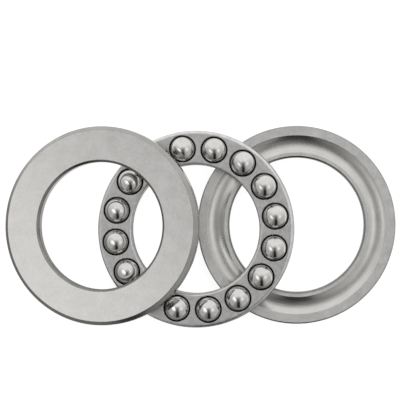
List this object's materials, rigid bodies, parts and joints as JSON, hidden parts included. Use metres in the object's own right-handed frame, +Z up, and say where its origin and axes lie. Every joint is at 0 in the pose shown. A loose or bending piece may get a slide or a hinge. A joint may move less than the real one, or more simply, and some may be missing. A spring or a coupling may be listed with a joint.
{
  "type": "thrust ball bearing",
  "caption": "Single-direction thrust ball bearing laid out apart: grooved housing washer, caged balls leaning on it, and a shaft washer leaning on the cage.",
  "frame": {"origin": "on the axis of the housing washer at the table that its back lies on", "axes": "+Z up from the table, along the housing washer's axis; the cage and the shaft washer lie out towards -X"},
  "size_m": [0.0927, 0.0478, 0.0134],
  "materials": {
    "washer_steel": "ground flat, with a polished raceway groove",
    "cage_steel": "satin, as pressed from sheet",
    "ball_steel": "mirror polished"
  },
  "bodies": {
    "housing_washer": {"housing_washer": "washer_steel"},
    "shaft_washer": {"shaft_washer": "washer_steel"},
    "cage": {"cage_channel": "cage_steel", "cage_ring": "cage_steel"},
    "ball_01": {"ball_01": "ball_steel"},
    "ball_02": {"ball_02": "ball_steel"},
    "ball_03": {"ball_03": "ball_steel"},
    "ball_04": {"ball_04": "ball_steel"},
    "ball_05": {"ball_05": "ball_steel"},
    "ball_06": {"ball_06": "ball_steel"},
    "ball_07": {"ball_07": "ball_steel"},
    "ball_08": {"ball_08": "ball_steel"},
    "ball_09": {"ball_09": "ball_steel"},
    "ball_10": {"ball_10": "ball_steel"},
    "ball_11": {"ball_11": "ball_steel"},
    "ball_12": {"ball_12": "ball_steel"},
    "ball_13": {"ball_13": "ball_steel"},
    "ball_14": {"ball_14": "ball_steel"},
    "ball_15": {"ball_15": "ball_steel"},
    "ball_16": {"ball_16": "ball_steel"}
  },
  "joints": [
    {"name": "shaft_washer_spin", "type": "hinge", "parent": "housing_washer", "child": "shaft_washer", "pos_m": [-0.04614, -0.00019, 0.00678], "axis": [-0.2295, 0.0084, 0.9733], "continuous": true},
    {"name": "cage_spin", "type": "hinge", "parent": "housing_washer", "child": "cage", "pos_m": [-0.0239, -0.001, 0.00532], "axis": [-0.1119, -0.0047, 0.9937], "continuous": true},
    {"name": "ball_01_spin", "type": "hinge", "parent": "cage", "child": "ball_01", "pos_m": [-0.00507, 0.00206, 0.00746], "axis": [0.9809, 0.1595, 0.1112], "continuous": true},
    {"name": "ball_02_spin", "type": "hinge", "parent": "cage", "child": "ball_02", "pos_m": [-0.00767, 0.00908, 0.0072], "axis": [0.8454, 0.5252, 0.0977], "continuous": true},
    {"name": "ball_03_spin", "type": "hinge", "parent": "cage", "child": "ball_03", "pos_m": [-0.01274, 0.01457, 0.00665], "axis": [0.5811, 0.8109, 0.0692], "continuous": true},
    {"name": "ball_04_spin", "type": "hinge", "parent": "cage", "child": "ball_04", "pos_m": [-0.01951, 0.01768, 0.00591], "axis": [0.2284, 0.9731, 0.0303], "continuous": true},
    {"name": "ball_05_spin", "type": "hinge", "parent": "cage", "child": "ball_05", "pos_m": [-0.02695, 0.01795, 0.00507], "axis": [-0.1591, 0.9872, -0.0133], "continuous": true},
    {"name": "ball_06_spin", "type": "hinge", "parent": "cage", "child": "ball_06", "pos_m": [-0.03393, 0.01534, 0.00427], "axis": [-0.5223, 0.851, -0.0548], "continuous": true},
    {"name": "ball_07_spin", "type": "hinge", "parent": "cage", "child": "ball_07", "pos_m": [-0.03938, 0.01024, 0.00364], "axis": [-0.8061, 0.5852, -0.088], "continuous": true},
    {"name": "ball_08_spin", "type": "hinge", "parent": "cage", "child": "ball_08", "pos_m": [-0.04247, 0.00342, 0.00326], "axis": [-0.9671, 0.2304, -0.1078], "continuous": true},
    {"name": "ball_09_spin", "type": "hinge", "parent": "cage", "child": "ball_09", "pos_m": [-0.04273, -0.00406, 0.00319], "axis": [-0.9809, -0.1595, -0.1112], "continuous": true},
    {"name": "ball_10_spin", "type": "hinge", "parent": "cage", "child": "ball_10", "pos_m": [-0.04013, -0.01108, 0.00345], "axis": [-0.8454, -0.5252, -0.0977], "continuous": true},
    {"name": "ball_11_spin", "type": "hinge", "parent": "cage", "child": "ball_11", "pos_m": [-0.03506, -0.01657, 0.004], "axis": [-0.5811, -0.8109, -0.0692], "continuous": true},
    {"name": "ball_12_spin", "type": "hinge", "parent": "cage", "child": "ball_12", "pos_m": [-0.02829, -0.01968, 0.00474], "axis": [-0.2284, -0.9731, -0.0303], "continuous": true},
    {"name": "ball_13_spin", "type": "hinge", "parent": "cage", "child": "ball_13", "pos_m": [-0.02085, -0.01995, 0.00558], "axis": [0.1591, -0.9872, 0.0133], "continuous": true},
    {"name": "ball_14_spin", "type": "hinge", "parent": "cage", "child": "ball_14", "pos_m": [-0.01387, -0.01734, 0.00638], "axis": [0.5223, -0.851, 0.0548], "continuous": true},
    {"name": "ball_15_spin", "type": "hinge", "parent": "cage", "child": "ball_15", "pos_m": [-0.00842, -0.01224, 0.00701], "axis": [0.8061, -0.5852, 0.088], "continuous": true},
    {"name": "ball_16_spin", "type": "hinge", "parent": "cage", "child": "ball_16", "pos_m": [-0.00533, -0.00542, 0.00739], "axis": [0.9671, -0.2304, 0.1078], "continuous": true}
  ],
  "couplings": [
    {"joint": "cage_spin", "follows": "shaft_washer_spin", "ratio": 0.5},
    {"joint": "ball_01_spin", "follows": "shaft_washer_spin", "ratio": -3.0236},
    {"joint": "ball_02_spin", "follows": "shaft_washer_spin", "ratio": -3.0236},
    {"joint": "ball_03_spin", "follows": "shaft_washer_spin", "ratio": -3.0236},
    {"joint": "ball_04_spin", "follows": "shaft_washer_spin", "ratio": -3.0236},
    {"joint": "ball_05_spin", "follows": "shaft_washer_spin", "ratio": -3.0236},
    {"joint": "ball_06_spin", "follows": "shaft_washer_spin", "ratio": -3.0236},
    {"joint": "ball_07_spin", "follows": "shaft_washer_spin", "ratio": -3.0236},
    {"joint": "ball_08_spin", "follows": "shaft_washer_spin", "ratio": -3.0236},
    {"joint": "ball_09_spin", "follows": "shaft_washer_spin", "ratio": -3.0236},
    {"joint": "ball_10_spin", "follows": "shaft_washer_spin", "ratio": -3.0236},
    {"joint": "ball_11_spin", "follows": "shaft_washer_spin", "ratio": -3.0236},
    {"joint": "ball_12_spin", "follows": "shaft_washer_spin", "ratio": -3.0236},
    {"joint": "ball_13_spin", "follows": "shaft_washer_spin", "ratio": -3.0236},
    {"joint": "ball_14_spin", "follows": "shaft_washer_spin", "ratio": -3.0236},
    {"joint": "ball_15_spin", "follows": "shaft_washer_spin", "ratio": -3.0236},
    {"joint": "ball_16_spin", "follows": "shaft_washer_spin", "ratio": -3.0236}
  ]
}
